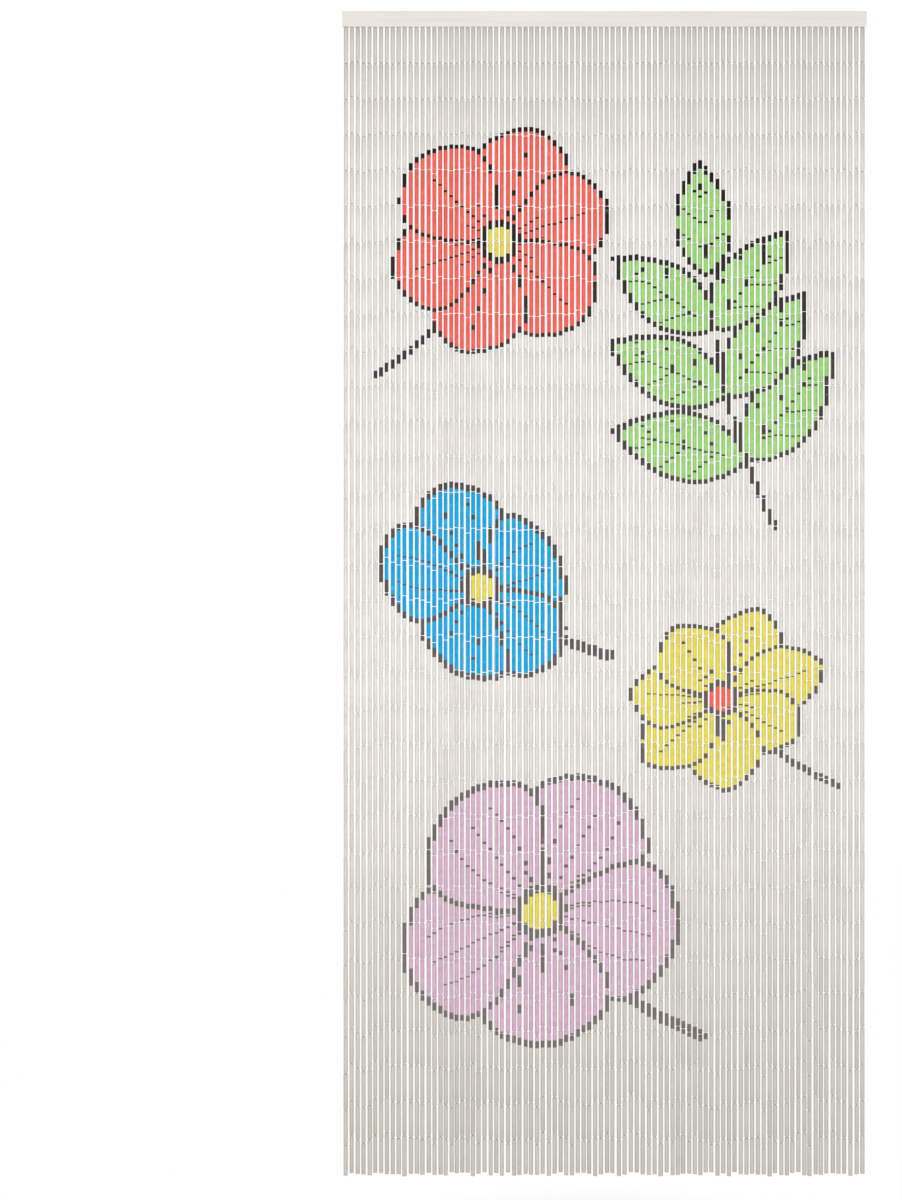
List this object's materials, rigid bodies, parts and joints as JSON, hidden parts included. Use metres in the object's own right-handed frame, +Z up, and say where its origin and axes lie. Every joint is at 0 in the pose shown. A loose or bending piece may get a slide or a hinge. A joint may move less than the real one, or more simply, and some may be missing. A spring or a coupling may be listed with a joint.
{
  "type": "bamboo bead door curtain on a wooden head rail",
  "caption": "Door curtain of hanging bamboo tube strands with painted blossoms and leaves, on a flat wooden head rail.",
  "frame": {"origin": "middle of the head rail's back face, which lies on the wall over a doorway", "axes": "+Z up, the strands hang down along -Z; +X along the rail; +Y into the wall, so the painted front looks along -Y"},
  "size_m": [0.9, 0.012, 2],
  "materials": {
    "rail_wood": "planed pale wood, limed",
    "bamboo": "pale bamboo tubes, natural skin with matt paint on the front",
    "wire": "galvanised wire"
  },
  "bodies": {
    "root": {"head_rail": "rail_wood", "strand_curtain": "bamboo"}
  },
  "joints": []
}
